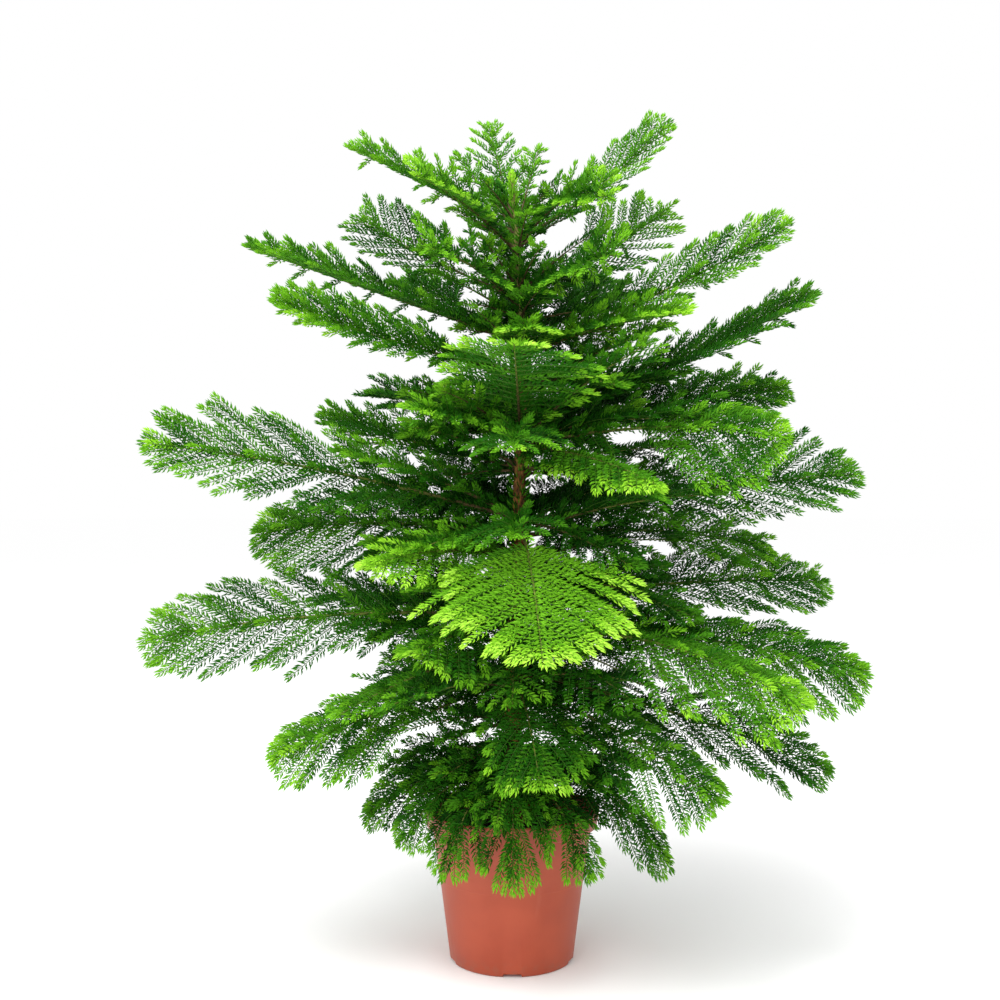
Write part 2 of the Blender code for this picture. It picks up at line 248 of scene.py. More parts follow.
# The pot is filled with dark, moist potting mix of peat and fine bark, which has sunk a little
# below the rim and lies in crumbs, with a few chips of bark and grains of white perlite.
soil_top = 0.166
soil_sag = 0.004
soil_side = 0.160
soil_edge = 0.0948
soil_rings = 22
soil_profile = [(0, 0.0036), (0.0710, 0.0052), (0.0729, 0.0070), (soil_edge, soil_side)]
for step in range(soil_rings):
    radius = soil_edge * (1 - step / soil_rings)
    soil_profile.append((radius, soil_top - soil_sag * (radius / soil_edge) ** 2))
soil_profile.append((0, soil_top))
bm = turned(soil_profile, 96)
for vert in bm.verts:
    radius = vert.co.xy.length
    if vert.co.z > soil_side + 0.0005 and radius < soil_edge - 0.001:
        clods = noise.noise(vert.co * 130) + 0.6 * noise.noise(vert.co * 320)
        vert.co.z += 0.0013 * clods * min(1, radius / 0.030)

peat = Finish("potting_soil", (0.022, 0.014, 0.009), 0.95, Specular_IOR_Level=0.2)
grain = peat.mottle(420, 5, stops=((0.35, 0), (0.65, 1)))
damp = peat.mottle(45, 2)
tint = peat.between(grain, (0.010, 0.006, 0.004), (0.050, 0.030, 0.018))
peat.set("Base Color", peat.between(damp * 0.5, tint, (0.016, 0.010, 0.007)))
peat.set("Roughness", 0.98 - damp * 0.25)
peat.relief(grain + peat.mottle(1400, 3) * 0.5, 0.0009)
shown("soil_mix", bm, peat, "potting_soil", "soil", smooth=60)

dealt = np.random.default_rng(31)


def scattered_crumbs(count, smallest, largest, flatness):
    bm = bmesh.new()
    for _ in range(count):
        radius, angle = soil_edge * 0.96 * dealt.uniform(0.19, 1) ** 0.5, dealt.uniform(0, math.tau)
        size = dealt.uniform(smallest, largest)
        made = bmesh.ops.create_icosphere(bm, subdivisions=1, radius=size)["verts"]
        bmesh.ops.scale(bm, verts=made, vec=(1, dealt.uniform(0.5, 0.9), flatness))
        turn = Matrix.Rotation(dealt.uniform(0, math.tau), 3, "Z")
        turn = turn @ Matrix.Rotation(dealt.uniform(-0.4, 0.4), 3, "X")
        bmesh.ops.rotate(bm, verts=made, cent=(0, 0, 0), matrix=turn)
        height = soil_top - soil_sag * (radius / soil_edge) ** 2 + size * flatness * 0.3
        spot = (radius * math.cos(angle), radius * math.sin(angle), height)
        bmesh.ops.translate(bm, verts=made, vec=spot)
    return bm


chips = Finish("bark_chips", (0.060, 0.032, 0.016), 0.9)
tint = chips.between(chips.mottle(200, 3), (0.030, 0.016, 0.008), (0.095, 0.052, 0.026))
chips.set("Base Color", tint)
shown("soil_chips", scattered_crumbs(420, 0.0012, 0.0034, 0.45), chips, "potting_soil", smooth=20)
perlite = Finish("perlite", (0.600, 0.580, 0.520), 0.9)
tint = perlite.between(perlite.mottle(700, 2), (0.42, 0.39, 0.33), (0.68, 0.66, 0.60))
perlite.set("Base Color", tint)
shown("soil_perlite", scattered_crumbs(46, 0.0008, 0.0016, 0.9), perlite, "potting_soil", smooth=20)


# The trunk is one straight young stem. Its bark is orange-brown and flakes low down, and turns
# olive towards the leader, where the bases of old needles still stand out in rows.
trunk_tip = 0.972


def along_trunk(height):
    """0 at the soil and 1 at the trunk's tip."""
    return min(max((height - soil_top) / (trunk_tip - soil_top), 0), 1)


def trunk_axis(height):
    share = along_trunk(height)
    return Vector((0.0115 * math.sin(math.pi * share**1.7), 0.004 * share, height))


def trunk_radius(height):
    taper = 0.0016 + 0.0094 * (1 - along_trunk(height)) ** 0.62
    return taper + 0.0060 * math.exp((soil_top - height) / 0.014)


def rolled(bm, sides, rings, skin):
    """A grid rolled into a closed tube. skin gives the point at (share of a turn, share along)."""
    made = bmesh.ops.create_grid(bm, x_segments=sides, y_segments=rings, size=0.5)["verts"]
    for vert in made:
        vert.co = skin(vert.co.x + 0.5, vert.co.y + 0.5)
    bmesh.ops.remove_doubles(bm, verts=made, dist=1e-7)
    rims = [edge for edge in bm.edges if edge.is_boundary]
    bmesh.ops.holes_fill(bm, edges=rims, sides=sides)


whorl_heights = (0.216, 0.338, 0.415, 0.532, 0.632, 0.745, 0.814, 0.886)


def trunk_skin(turn, along):
    height = soil_top - 0.003 + (trunk_tip - soil_top + 0.003) * along
    angle = turn * math.tau
    out = Vector((math.cos(angle), math.sin(angle), 0))
    radius = trunk_radius(height)
    for whorl in whorl_heights:
        radius += 0.0011 * math.exp(-(((height - whorl) / 0.007) ** 2))
    flakes = noise.noise(Vector((out.x * 3.2, out.y * 3.2, height * 95)))
    flakes += 0.6 * noise.noise(Vector((out.x * 7, out.y * 7, height * 260)))
    scales = max(0, math.cos(6 * angle + height * 420)) * max(0, math.cos(height * 760))
    young = along**1.5
    relief = 0.085 * flakes * (1 - 0.7 * young) + 0.22 * scales * young
    return trunk_axis(height) + out * radius * (1 + relief)


bm = bmesh.new()
rolled(bm, 30, 300, trunk_skin)
bark = Finish("bark", (0.200, 0.100, 0.045), 0.85, Specular_IOR_Level=0.25)
flake = bark.mottle(150, 5, (1, 1, 0.35), ((0.38, 0), (0.62, 1)))
crack = bark.mottle(260, 4, (1, 1, 0.5), ((0.52, 0), (0.66, 1)))
old = bark.between(flake, (0.070, 0.030, 0.009), (0.360, 0.150, 0.034))
old = bark.between(crack * 0.75, old, (0.022, 0.013, 0.007))
young_bark = bark.between(flake, (0.110, 0.120, 0.030), (0.300, 0.270, 0.080))
upward = bark.node(
    "ShaderNodeMapRange", {},
    {"Value": bark.height() + flake * 0.10, "From Min": 0.62, "From Max": 0.86},
)
bark.set("Base Color", bark.between(upward, old, young_bark))
bark.set("Roughness", 0.92 - flake * 0.15)
bark.relief(flake - crack, 0.0009)
shown("trunk_bark", bm, bark, "bark", "trunk", smooth=70)


# Each bough leaves the trunk in one of eight tiers and runs out inside its flat frond. It is a
# thin, tapering limb, brown at the trunk and green further out, rough with old needle bases.
# height: where it leaves the trunk. heading: in degrees, 0 to the right and 270 to the front.
# reach, rise and arch: how far out its tip lies, how much higher than its foot, and how far its
# middle stands above the line between them. roll: its turn round its rib, in degrees. cup: how its
# sides rise off its face. glow: how light its needles are, from 0 in the shade to 3.3 in front. It
# is partly how young they are, and partly painted light and shade: fronds that face the light are
# made lighter, and those at the back and inside darker.
Frond = namedtuple("Frond", "name height heading reach rise arch width roll cup glow")
fronds = [
    Frond("a_left", 0.896, 182, 0.208, 0.106, 0.004, 0.110, 22, 0.2, 1.9),
    Frond("a_front_left", 0.872, 227, 0.175, 0.066, 0.010, 0.110, 35, 0.2, 1.7),
    Frond("a_back", 0.900, 104, 0.145, 0.172, 0.000, 0.130, 5, 0.2, 1.8),
    Frond("a_right", 0.888, 17, 0.207, 0.165, -0.014, 0.115, -35, 0.2, 1.9),
    Frond("a_front_right", 0.874, 314, 0.155, 0.038, 0.030, 0.110, -35, 0.2, 1.7),

    Frond("b_back_left", 0.816, 153, 0.245, 0.125, -0.005, 0.150, 36, 0.2, 1.2),
    Frond("b_front_left", 0.803, 232, 0.172, 0.050, 0.012, 0.125, 40, 0.2, 1.3),
    Frond("b_back_right", 0.818, 36, 0.250, 0.140, -0.005, 0.150, -36, 0.2, 1.6),
    Frond("b_front_right", 0.805, 310, 0.172, 0.040, 0.014, 0.125, -40, 0.2, 1.4),
    Frond("b_back", 0.838, 94, 0.210, 0.150, 0.006, 0.150, 0, 0.2, 1.3),

    Frond("c_left", 0.762, 176, 0.345, 0.122, 0.000, 0.110, 15, 0.2, 1.4),
    Frond("c_front_left", 0.722, 200, 0.308, 0.074, -0.006, 0.120, 35, 0.2, 1.6),
    Frond("c_right", 0.752, 5, 0.342, 0.162, -0.010, 0.110, -45, 0.2, 1.7),
    Frond("c_front_right", 0.742, 325, 0.230, 0.036, 0.010, 0.120, -15, 0.2, 2.0),
    Frond("c_front", 0.733, 272, 0.140, 0.026, 0.016, 0.080, 0, 0.0, 1.5),
    Frond("c_back", 0.766, 94, 0.285, 0.118, 0.000, 0.330, 0, 0.1, 0.9),

    Frond("d_front", 0.646, 267, 0.200, 0.090, 0.004, 0.195, 6, 0.1, 1.3),
    Frond("d_left", 0.606, 166, 0.262, 0.070, -0.004, 0.125, 12, 0.1, 1.2),
    Frond("d_front_left", 0.628, 224, 0.172, 0.040, 0.012, 0.110, 15, 0.1, 1.4),
    Frond("d_right_top", 0.660, 9, 0.385, 0.172, -0.012, 0.125, -15, 0.2, 0.9),
    Frond("d_right_back", 0.638, 22, 0.390, 0.078, 0.010, 0.130, -30, 0.1, 1.0),
    Frond("d_right_front", 0.630, 337, 0.330, 0.006, 0.018, 0.150, -45, 0.0, 1.6),
    Frond("d_front_right", 0.628, 305, 0.262, -0.050, 0.012, 0.070, -4, -0.1, 1.8),
    Frond("d_back", 0.646, 97, 0.330, 0.062, 0.010, 0.390, 0, 0.1, 0.6),

    Frond("e_left", 0.540, 190, 0.452, 0.092, 0.012, 0.150, 50, 0.1, 1.4),
    Frond("e_left_low", 0.522, 174, 0.335, 0.003, 0.012, 0.160, 38, 0.0, 1.5),
    Frond("e_front_left", 0.492, 224, 0.235, 0.000, 0.013, 0.110, 12, -0.1, 2.5),
    Frond("e_front", 0.532, 274, 0.300, -0.134, 0.030, 0.270, 0, -0.1, 3.3),
    Frond("e_right", 0.536, 4, 0.432, 0.062, 0.008, 0.155, -40, 0.1, 1.1),
    Frond("e_right_back", 0.520, 26, 0.385, -0.020, 0.015, 0.150, -30, 0.0, 1.4),
    Frond("e_back", 0.545, 100, 0.370, 0.020, 0.015, 0.410, 0, 0.0, 0.6),

    Frond("f_left", 0.420, 186, 0.453, -0.024, 0.016, 0.150, 50, 0.0, 1.5),
    Frond("f_front_left", 0.406, 236, 0.200, -0.014, 0.012, 0.110, 15, -0.1, 1.5),
    Frond("f_right_back", 0.436, 21, 0.455, 0.017, 0.012, 0.150, -33, 0.0, 1.2),
    Frond("f_right", 0.404, 349, 0.422, -0.046, 0.018, 0.145, -44, -0.1, 1.3),
    Frond("f_right_front", 0.394, 325, 0.378, -0.052, 0.033, 0.155, -20, -0.1, 1.9),
    Frond("f_back", 0.422, 102, 0.380, -0.008, 0.015, 0.430, 0, 0.0, 0.6),

    Frond("g_left", 0.345, 201, 0.302, -0.080, 0.012, 0.140, 30, -0.1, 1.7),
    Frond("g_front", 0.338, 277, 0.216, -0.082, 0.025, 0.120, 0, -0.2, 1.2),
    Frond("g_right", 0.352, 352, 0.382, -0.110, 0.010, 0.140, -30, -0.1, 0.9),
    Frond("g_right_front", 0.320, 321, 0.290, -0.090, 0.024, 0.130, -22, -0.1, 1.0),
    Frond("g_back", 0.347, 88, 0.340, -0.065, 0.020, 0.420, 0, -0.1, 0.6),

    Frond("h_left", 0.216, 184, 0.182, -0.040, 0.030, 0.105, 35, -0.1, 0.8),
    Frond("h_front_left", 0.202, 240, 0.158, -0.064, 0.048, 0.080, 10, -0.2, 0.9),
    Frond("h_left_front", 0.208, 215, 0.160, -0.046, 0.040, 0.090, 18, -0.2, 0.8),
    Frond("h_front", 0.222, 270, 0.158, -0.096, 0.062, 0.092, 0, -0.2, 1.1),
    Frond("h_front_right", 0.196, 301, 0.168, -0.058, 0.048, 0.078, -6, -0.2, 0.9),
    Frond("h_right", 0.224, 343, 0.198, -0.102, 0.054, 0.100, -25, -0.2, 0.8),
    Frond("h_back", 0.214, 95, 0.210, -0.050, 0.040, 0.280, 0, -0.1, 0.7),
]
# Shorter boughs stand between the long ones and close the crown round the trunk. Each row is one
# ring of them. slope: their rise for each metre out. swing: how much that differs in the ring.
# front: the slope of those that point to the front, or None where the trunk shows between them.
Ring = namedtuple("Ring", "tier height count reach slope swing front")
bough_rings = (
    Ring("a", 0.905, 3, 0.070, 0.95, 0.10, 1.00),
    Ring("a", 0.872, 4, 0.090, 0.50, 0.15, 0.45),
    Ring("b", 0.824, 6, 0.115, 0.50, 0.15, 0.40),
    Ring("b", 0.790, 6, 0.130, 0.30, 0.20, 0.20),
    Ring("c", 0.745, 7, 0.165, 0.32, 0.22, None),
    Ring("c", 0.700, 9, 0.210, 0.22, 0.25, None),
    Ring("d", 0.642, 10, 0.240, 0.22, 0.22, -0.12),
    Ring("d", 0.600, 10, 0.230, 0.05, 0.20, None),
    Ring("e", 0.535, 9, 0.235, 0.05, 0.25, -0.05),
    Ring("e", 0.490, 8, 0.220, -0.05, 0.25, -0.45),
    Ring("f", 0.430, 7, 0.225, -0.02, 0.25, -0.20),
    Ring("f", 0.385, 8, 0.245, -0.10, 0.25, -0.30),
    Ring("g", 0.340, 8, 0.240, -0.20, 0.22, -0.40),
    Ring("g", 0.285, 7, 0.175, -0.20, 0.22, -0.40),
    Ring("h", 0.250, 11, 0.165, -0.28, 0.10, -0.42),
    Ring("h", 0.222, 7, 0.140, -0.14, 0.08, -0.20),
)
front_sector = 35
# How much shorter those are that point to the front, and in tiers c and d those to the left.
front_shortening = 0.2
left_shortening = 0.4
# How light their needles are in the shade, and what pointing to the left, pointing to the front
# and standing high on the trunk add to that. What the left and the front add is painted light, as
# the light falls from the left front. In tiers g and h the front adds less.
shaded_glow = 0.15
left_glow = 0.8
front_glow = 0.5
low_front_glow = 0.2
high_glow = 0.8


def frontward(heading):
    """1 for a frond that points to the front, down to 0 for one that points sideways or back."""
    return max(0, -math.sin(math.radians(heading)))


sown = np.random.default_rng(12)
for ring in bough_rings:
    turn = sown.uniform(0, 360)
    for number in range(ring.count):
        heading = (turn + 360 * (number + sown.uniform(-0.25, 0.25)) / ring.count) % 360
        facing = frontward(heading)
        leftward = max(0, -math.cos(math.radians(heading)))
        shortened = 1 - front_shortening * facing
        shortened -= left_shortening * leftward**2 if ring.tier in "cd" else 0
        reach = ring.reach * sown.uniform(0.82, 1.15) * shortened
        slope = ring.slope + ring.swing * (-1) ** number * sown.uniform(0.5, 1.3)
        if abs(heading - 270) < front_sector:
            slope = ring.front
        if slope is None:
            continue
        # Painted light from the left and the front, added to the bough's green.
        gain = low_front_glow if ring.tier in "gh" else front_glow
        glow = shaded_glow + left_glow * leftward + gain * facing
        glow += high_glow * along_trunk(ring.height)
        fronds.append(Frond(
            f"{ring.tier}_inner", ring.height + sown.normal(0, 0.006), heading, reach, slope * reach,
            0.05 * reach, 0.58 * reach, sown.normal(0, 13), 0, glow,
        ))

# A limb lies in its frond's blade. splay: its angle to the frond's heading, in radians. length
# and width: of the part of the blade that is its own. The broad fronds at the back, at least
# fan_ratio as wide as they are long, are fans of three limbs, and every other one has one limb.
Limb = namedtuple("Limb", "frond order splay length width radius")
fan_ratio = 0.85
fan_splay = math.radians(31)
fan_limb_width = 0.46
shortest_fan_limb = 0.05
fan_limb_step = 0.002
# A limb's radius at its foot: that of a very short one, and what each metre of its length adds.
least_radius = 0.0014
stoutness = 0.0045
fan_stoutness = 0.0040


def is_short(frond):
    """Whether it is one of the short boughs that close the crown round the trunk."""
    return frond.name.endswith("inner")


def blade_axes(frond):
    """The blade's directions: ahead along its heading, across it, and off its face."""
    heading, roll = math.radians(frond.heading), -math.radians(frond.roll)
    ahead = np.array((math.cos(heading), math.sin(heading), 0))
    side = np.array((ahead[1], -ahead[0], 0))
    upward = np.array((0, 0, 1))
    across = side * math.cos(roll) - upward * math.sin(roll)
    return ahead, across, side * math.sin(roll) + upward * math.cos(roll)


def blade_point(frond, out, right, lift):
    """Points on a frond's blade: out from the trunk's axis, right of the rib, lifted off its face."""
    ahead, across, face = blade_axes(frond)
    out, right, lift = (np.asarray(v, float)[..., None] for v in (out, right, lift))
    share = out / frond.reach
    rise = frond.rise * share + frond.arch * 4 * share * (1 - share)
    place = np.array(trunk_axis(frond.height)) + out * ahead + rise * np.array((0, 0, 1))
    return place + right * across + (lift + frond.cup * np.abs(right)) * face


# How a frond widens from its foot and narrows to its tip, as the powers of the two lengths. Most
# are widest at 0.7 of their length. In front, one has a blunter tip, one is widest nearer the
# trunk, and one is widest at its middle. narrowest: half the width of any frond at its two ends.
outlines = {"d_front": (0.9, 0.22), "d_front_right": (0.3, 0.5), "e_front": (0.75, 0.72)}
usual_outline = (1, 0.42)
narrowest = 0.004


def full_width(frond, share):
    """The share of its widest that a frond has there: 0 at its foot and tip, 1 at its widest."""
    rising, falling = outlines.get(frond.name, usual_outline)
    share = min(max(share, 0), 1)
    widest = rising / (rising + falling)
    return (share / widest) ** rising * ((1 - share) / (1 - widest)) ** falling


def half_width(frond, order, out, side):
    """From the rib to a frond's uneven edge on one side, which differs from frond to frond."""
    share = min(max(out / frond.reach, 0), 1)
    shift = 1.7 * order + 2.3 * side
    wave = 1 + 0.10 * math.sin(5 * share * math.pi + shift)
    wave += 0.06 * math.sin(11 * share * math.pi + shift)
    return narrowest + (frond.width / 2 - narrowest) * full_width(frond, share) * wave


def inside(frond, order, out, right):
    """Whether a place on the blade is within the frond's outline."""
    side = 1 if right > 0 else -1
    return 0 < out < frond.reach and abs(right) < half_width(frond, order, out, side)


def on_blade(limb, out, right):
    """(out, right) beside a limb, as (out, right) on its frond's blade."""
    turned_out = out * math.cos(limb.splay) - right * math.sin(limb.splay)
    return turned_out, out * math.sin(limb.splay) + right * math.cos(limb.splay)


def on_limb(limb, out, right, lift):
    """Points beside a limb, by its own splayed direction, on its frond's blade."""
    out, right = np.asarray(out, float), np.asarray(right, float)
    return blade_point(limb.frond, *on_blade(limb, out, right), lift)


limbs = []
for order, frond in enumerate(fronds):
    if "back" not in frond.name or frond.width / frond.reach < fan_ratio:
        radius = least_radius + stoutness * frond.reach
        limbs.append(Limb(frond, order, 0, frond.reach, frond.width, radius))
        continue
    for splay in (-fan_splay, 0, fan_splay):
        length = shortest_fan_limb
        while inside(frond, order, length * math.cos(splay), length * math.sin(splay)):
            length += fan_limb_step
        radius = least_radius + fan_stoutness * length
        limbs.append(Limb(frond, order, splay, length, length * fan_limb_width, radius))


def limb_radius(limb, share):
    return limb.radius * (1 - 0.80 * share**0.8)


def limb_skin(limb, turn, along):
    """A limb's bark, from inside the trunk, with a collar where it comes out, to its thin tip."""
    start = trunk_radius(limb.frond.height) * 0.6
    out = start + (limb.length * 0.985 - start) * along
    here, ahead = on_limb(limb, (out, out + 0.001), (0, 0), (0, 0))
    forward = Vector(ahead - here).normalized()
    side = forward.cross(Vector((0, 0, 1))).normalized()
    angle = turn * math.tau
    round_way = side * math.cos(angle) + side.cross(forward) * math.sin(angle)
    rough = noise.noise(Vector((math.cos(angle) * 3, math.sin(angle) * 3, out * 300 + limb.order * 7)))
    collar = 0.55 * math.exp(-((out - start) / 0.006))
    return Vector(here) + round_way * limb_radius(limb, along) * (1 + 0.13 * rough + collar)


bm = bmesh.new()
for limb in limbs:
    sides, rings = (6, 14) if is_short(limb.frond) else (9, 36)
    one_limb = bmesh.new()
    rolled(one_limb, sides, rings, lambda turn, along: limb_skin(limb, turn, along))
    limb_mesh = bpy.data.meshes.new("limb")
    one_limb.to_mesh(limb_mesh)
    one_limb.free()
    bm.from_mesh(limb_mesh)
    bpy.data.meshes.remove(limb_mesh)
limb_bark = Finish("limb_bark", (0.150, 0.130, 0.038), 0.75, Specular_IOR_Level=0.3)
patch = limb_bark.mottle(240, 4, stops=((0.35, 0), (0.65, 1)))
point = limb_bark.node("ShaderNodeTexCoord", output="Object")
across = limb_bark.node("ShaderNodeSeparateXYZ", {}, {0: point}, output="X")
along = limb_bark.node("ShaderNodeSeparateXYZ", {}, {0: point}, output="Y")
outward = limb_bark.node(
    "ShaderNodeMapRange", {},
    {"Value": across * across + along * along, "From Min": 0.0010, "From Max": 0.0200},
)
old = limb_bark.between(patch, (0.038, 0.028, 0.009), (0.110, 0.072, 0.024))
young = limb_bark.between(patch, (0.080, 0.110, 0.016), (0.190, 0.230, 0.036))
limb_bark.set("Base Color", limb_bark.between(outward, old, young))
limb_bark.set("Roughness", 0.85 - patch * 0.2)
limb_bark.relief(patch, 0.0005)
boughs = [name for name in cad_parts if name.startswith("bough_")]
shown("limbs", bm, limb_bark, "limb_bark", *boughs, smooth=70)


# Twigs grow from both sides of every limb in pairs, slanting forward in the frond's own plane,
# and shorter ones stand off its face above and below. They are green, thin, and never branch.
# side, roll: which side of the limb, and how far out of the blade it turns. spacing: from one to
# the next. share: of the blade's half width that they may reach. longest: their length at most.
Row = namedtuple("Row", "side roll spacing share longest")
twig_rows = (
    Row(-1, 0, 0.0185, 1.00, 0.130),
    Row(1, 0, 0.0185, 1.00, 0.130),
    Row(-1, 50, 0.036, 0.65, 0.048),
    Row(1, 50, 0.036, 0.65, 0.048),
    Row(1, -70, 0.042, 0.50, 0.036),
)
# The fronds that show the sky between their twigs, as they are flat, with fewer twigs off their
# blade.
open_fronds = (
    "a_left", "a_right", "a_back", "b_back_left", "b_back_right", "b_back", "c_right",
    "e_left", "e_right", "e_right_back", "f_left", "f_right_back", "g_right",
)
# Four fronds in front have no twigs off their blade at all. One is bare near the trunk, for this
# share of its length.
smooth_fronds = ("d_front", "d_front_right", "e_front", "g_front")
bare_share = {"e_front": 0.30}
twig_points = 5
twig_radius = 0.0008
twig_step = 0.003
shortest_twig = 0.010
# curls: how far the tip of a twig of curled_length stands above its frond, or hangs below it, in
# each tier. Those that point to the front hang lower by front_droop, the short boughs' by
# inner_droop, and the smooth fronds' hang down as far as hanging says.
curls = {
    "a": 0.006, "b": 0.003, "c": 0.002, "d": -0.003,
    "e": -0.004, "f": -0.004, "g": -0.003, "h": -0.002,
}
curled_length = 0.060
front_droop = 0.010
inner_droop = 0.002
hanging = {"d_front_right": 0.0300, "e_front": 0.0060, "d_front": 0.0090, "g_front": 0.0060}
# spread: how far apart twigs stand, as a share of their row's spacing, in each tier. They stand
# wider on the short boughs, by inner_spread, and closer on smooth fronds and on others that are
# rolled well over and aren't open, by close_spread or closest_spread. On fronds that are broad and
# point to the front they are closer still, by up to broad_closing.
spread = {"a": 0.95, "b": 0.95, "c": 0.92, "d": 0.95, "e": 0.95, "f": 0.95, "g": 0.92, "h": 0.92}
inner_spread = 1.25
rolled_over = 25
close_spread = 0.8
closest_spread = {"e_front": 0.65}
broad_closing = 0.25
# slants: how many degrees from the limb they start, in each tier, or square_slant where a frond is
# nearly as broad as it is long. closing: how many degrees nearer to the limb they point at its tip
# than at its foot. twig_bend: by what share of its slant a twig of bent_length bends in again.
slants = {"a": 58, "b": 58, "c": 58, "d": 58, "e": 58, "f": 58, "g": 58, "h": 56}
slant_scatter = 3.5
square_slant = 84
closing = {"a": 4, "b": 6, "c": 16, "d": 20, "e": 24, "f": 24, "g": 24, "h": 20}
twig_bend = 0.28
bent_length = 0.090
grown = np.random.default_rng(77)
# share: how far along its limb a twig grows. face: the way off its frond's blade. standing: whether
# it stands off the blade itself.
Twig = namedtuple("Twig", "limb share path length face standing")

# The sky shows through the crown in a few places. Each is an ellipse on the upright plane through
# the trunk, as seen from the front: its middle, across and up, and its half width and height.
# eye: where the camera stands.
Clearing = namedtuple("Clearing", "across height wide tall")
clearings = (
    Clearing(-0.056, 0.854, 0.010, 0.015),
    Clearing(0.066, 0.890, 0.027, 0.024),
    Clearing(-0.044, 0.812, 0.018, 0.017),
    Clearing(-0.070, 0.758, 0.008, 0.008),
    Clearing(0.048, 0.796, 0.007, 0.009),
    Clearing(0.141, 0.646, 0.028, 0.010),
    Clearing(0.041, 0.534, 0.006, 0.012),
    Clearing(0.166, 0.513, 0.019, 0.006),
    Clearing(0.110, 0.363, 0.012, 0.009),
    Clearing(0.153, 0.330, 0.018, 0.011),
    Clearing(-0.114, 0.283, 0.024, 0.008),
    Clearing(-0.095, 0.577, 0.006, 0.006),
)
eye = Vector((-0.0145, -1.60, 0.565))


def clear_sky(path):
    """Whether a path keeps out of every clearing, as seen from the front."""
    nearer = -eye.y / (path[:, 1] - eye.y)
    across = eye.x + (path[:, 0] - eye.x) * nearer
    height = eye.z + (path[:, 2] - eye.z) * nearer
    for hole in clearings:
        away = ((across - hole.across) / hole.wide) ** 2 + ((height - hole.height) / hole.tall) ** 2
        if away.min() < 1:
            return False
    return True


def breadth(limb):
    """0 on a slender frond, up to 1 on one that is nearly as broad as it is long."""
    return min(max((limb.width / limb.length - 0.55) / 0.3, 0), 1)


def twig_course(limb, start, row, reach):
    """A twig's points as (out, distance off the limb), up to the frond's outline."""
    broad = breadth(limb)
    tier = limb.frond.name[0]
    first_slant = slants[tier] + (square_slant - slants[tier]) * broad
    closed = closing[tier] * (start / limb.length) ** 1.3
    slant = math.radians(grown.normal(first_slant, slant_scatter) - closed)
    bend = twig_bend * (1 - 0.6 * broad)
    turn = math.cos(math.radians(row.roll))
    out, off, gone = start, 0.0, 0.0
    course = [(out, off)]
    while gone < row.longest * reach:
        angle = slant * (1 - bend * min(1, gone / bent_length))
        out += twig_step * math.cos(angle)
        off += twig_step * math.sin(angle)
        gone += twig_step
        edge = limb.width / 2 * full_width(limb.frond, out / limb.length) * reach * row.share
        if off > edge or not inside(limb.frond, limb.order, *on_blade(limb, out, row.side * off * turn)):
            break
        course.append((out, off))
    return np.array(course), gone


twigs = []
for limb in limbs:
    name = limb.frond.name
    foot = trunk_radius(limb.frond.height) + 0.008
    facing = frontward(limb.frond.heading)
    flat = name in open_fronds
    smooth = name in smooth_fronds
    short = is_short(limb.frond)
    broad = breadth(limb)
    droop = (inner_droop if short else front_droop) * facing * (1 - broad)
    curl = 0 if flat else curls[name[0]] - droop
    if name in hanging:
        curl = -hanging[name]
    close = spread[name[0]] * (inner_spread if short else 1) * (1 - broad_closing * broad * facing)
    if smooth or (abs(limb.frond.roll) > rolled_over and not flat and not short):
        close *= closest_spread.get(name, close_spread)
    rows = 2 if smooth else 4 if short else 5
    for row in twig_rows[:rows]:
        roll = math.radians(row.roll)
        spacing = row.spacing * (2 if row.roll and flat else 1) * close
        start = foot + grown.uniform(0, spacing) + bare_share.get(name, 0) * limb.length
        while start < limb.length - 0.006:
            course, length = twig_course(limb, start, row, grown.uniform(0.80 - 0.10 * broad, 1.08))
            if length > shortest_twig:
                picks = np.linspace(0, len(course) - 1, twig_points)
                out, off = (np.interp(picks, range(len(course)), course[:, k]) for k in (0, 1))
                path = on_limb(limb, out, row.side * off * math.cos(roll), off * math.sin(roll))
                gone = np.linspace(0, length, twig_points)
                path[:, 2] += (curl + grown.normal(0, 0.0022)) * (gone / curled_length) ** 1.6
                if clear_sky(path):
                    face = blade_axes(limb.frond)[2]
                    twigs.append(Twig(limb, start / limb.length, path, length, face, row.roll != 0))
            start += spacing * grown.uniform(0.86, 1.14)


def unit(vectors):
    return vectors / np.maximum(np.linalg.norm(vectors, axis=-1, keepdims=True), 1e-9)


def joined(points, corners, shades=None):
    """One mesh of many like items. points: (items, points, 3). corners: the faces of one item."""
    items, each = points.shape[:2]
    faces = (np.arange(items)[:, None, None] * each + np.asarray(corners)).reshape(-1, 3)
    mesh = bpy.data.meshes.new("joined")
    mesh.vertices.add(items * each)
    mesh.vertices.foreach_set("co", points.reshape(-1).astype(np.float32))
    mesh.loops.add(faces.size)
    mesh.loops.foreach_set("vertex_index", faces.reshape(-1).astype(np.int32))
    mesh.polygons.add(len(faces))
    mesh.polygons.foreach_set("loop_start", np.arange(0, faces.size, 3, dtype=np.int32))
    if shades is not None:
        mesh.polygons.foreach_set("material_index", np.repeat(shades, len(corners)).astype(np.int32))
    mesh.update(calc_edges=True)
    mesh.shade_flat()
    return mesh


twig_sides = 3
twig_corners = []
for ring in range(twig_points - 1):
    for k in range(twig_sides):
        a, b = ring * twig_sides + k, ring * twig_sides + (k + 1) % twig_sides
        twig_corners += [(a, a + twig_sides, b), (b, a + twig_sides, b + twig_sides)]
last = (twig_points - 1) * twig_sides
twig_corners += [(0, 1, 2), (last, last + 2, last + 1)]

